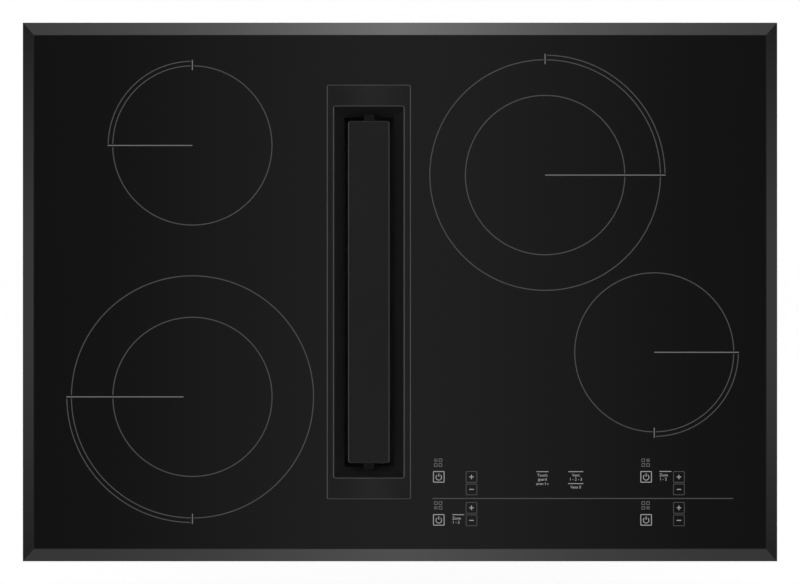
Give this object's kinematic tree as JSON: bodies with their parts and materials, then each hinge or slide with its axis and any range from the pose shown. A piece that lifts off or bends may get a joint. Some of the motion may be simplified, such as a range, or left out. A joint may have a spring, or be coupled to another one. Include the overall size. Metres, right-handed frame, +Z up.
{
  "type": "downdraft cooktop",
  "caption": "Built-in radiant glass cooktop with a long air grille beside the middle, a grease filter, a plenum and a blower with a round outlet below.",
  "frame": {"origin": "middle of the glass outline on the worktop's surface, at the seal's underside", "axes": "+X to the cook's right, +Y to the rear, +Z up"},
  "size_m": [0.7826, 0.5588, 0.4432],
  "materials": {
    "galvanised": "galvanised sheet",
    "aluminium": "mill finish",
    "steel": "plain steel",
    "board": "circuit board",
    "black_plastic": "moulded",
    "fibre": "pressed fibre",
    "ribbon": "oxidised alloy",
    "black_glass": "polished, opaque",
    "black_enamel": "satin black",
    "bronze": "sintered bush",
    "foam": "closed-cell foam"
  },
  "bodies": {
    "cooktop": {"box_floor": "galvanised", "burner_box": "galvanised", "capacitor": "aluminium", "capacitor_clamp": "steel", "case_screws": "steel", "conduit_connector": "steel", "control_board": "board", "control_housing": "black_plastic", "element_insulation_front_left": "fibre", "element_insulation_front_right": "fibre", "element_insulation_rear_left": "fibre", "element_insulation_rear_right": "fibre", "element_limiter_front_left": "fibre", "element_limiter_front_right": "fibre", "element_limiter_rear_left": "fibre", "element_limiter_rear_right": "fibre", "element_pan_front_left": "galvanised", "element_pan_front_right": "galvanised", "element_pan_rear_left": "galvanised", "element_pan_rear_right": "galvanised", "element_ribbon_front_left": "ribbon", "element_ribbon_front_right": "ribbon", "element_ribbon_rear_left": "ribbon", "element_ribbon_rear_right": "ribbon", "element_springs": "steel", "filter_rails": "galvanised", "glass_top": "black_glass", "hold_down_left": "galvanised", "hold_down_right": "galvanised", "junction_box": "galvanised", "junction_cover": "galvanised", "motor_bearings": "bronze", "motor_front_bell": "aluminium", "motor_rear_bell": "aluminium", "motor_stator": "steel", "outlet_collar": "galvanised", "outlet_transition": "galvanised", "plenum": "galvanised", "relay_board": "board", "relay_board_tray": "black_plastic", "scroll_inlet_plate": "galvanised", "scroll_motor_plate": "galvanised", "scroll_wrap": "galvanised", "support_rails": "galvanised", "touch_pads": "black_plastic", "vent_chamber": "galvanised", "vent_chamber_gasket": "foam", "worktop_seal": "foam"},
    "grille": {"grille_frame": "black_enamel", "grille_cover_bar": "black_enamel", "grille_brackets": "black_enamel"},
    "filter": {"filter_frame": "aluminium", "filter_mesh": "aluminium"},
    "blower_rotor": {"blower_wheel": "galvanised", "motor_rotor": "steel"},
    "damper": {"damper_disc": "galvanised", "damper_pin": "steel"},
    "grease_cup": {"drip_cup": "black_plastic"},
    "left_clamp": {"clamp_screw_left": "steel"},
    "right_clamp": {"clamp_screw_right": "steel"}
  },
  "joints": [
    {"name": "grille_lift", "type": "slide", "parent": "cooktop", "child": "grille", "axis": [0, 0, 1], "range_m": [0, 0.3]},
    {"name": "filter_lift", "type": "slide", "parent": "cooktop", "child": "filter", "axis": [0, 0, 1], "range_m": [0, 0.15]},
    {"name": "blower_spin", "type": "hinge", "parent": "cooktop", "child": "blower_rotor", "pos_m": [0.1031, 0, -0.2244], "axis": [1, 0, 0], "continuous": true},
    {"name": "damper_swing", "type": "hinge", "parent": "cooktop", "child": "damper", "pos_m": [0.0571, 0.082, -0.4114], "axis": [0, 1, 0], "range_deg": [0, 80], "stiffness_Nm_per_rad": 0.02},
    {"name": "grease_cup_drop", "type": "slide", "parent": "cooktop", "child": "grease_cup", "axis": [0, 0, -1], "range_m": [0, 0.06]},
    {"name": "left_clamp_travel", "type": "slide", "parent": "cooktop", "child": "left_clamp", "axis": [0, 0, 1], "range_m": [0, 0.019]},
    {"name": "right_clamp_travel", "type": "slide", "parent": "cooktop", "child": "right_clamp", "axis": [0, 0, 1], "range_m": [0, 0.019]}
  ],
  "couplings": [
    {"joint": "filter_lift", "follows": "grille_lift", "ratio": 0.5}
  ]
}
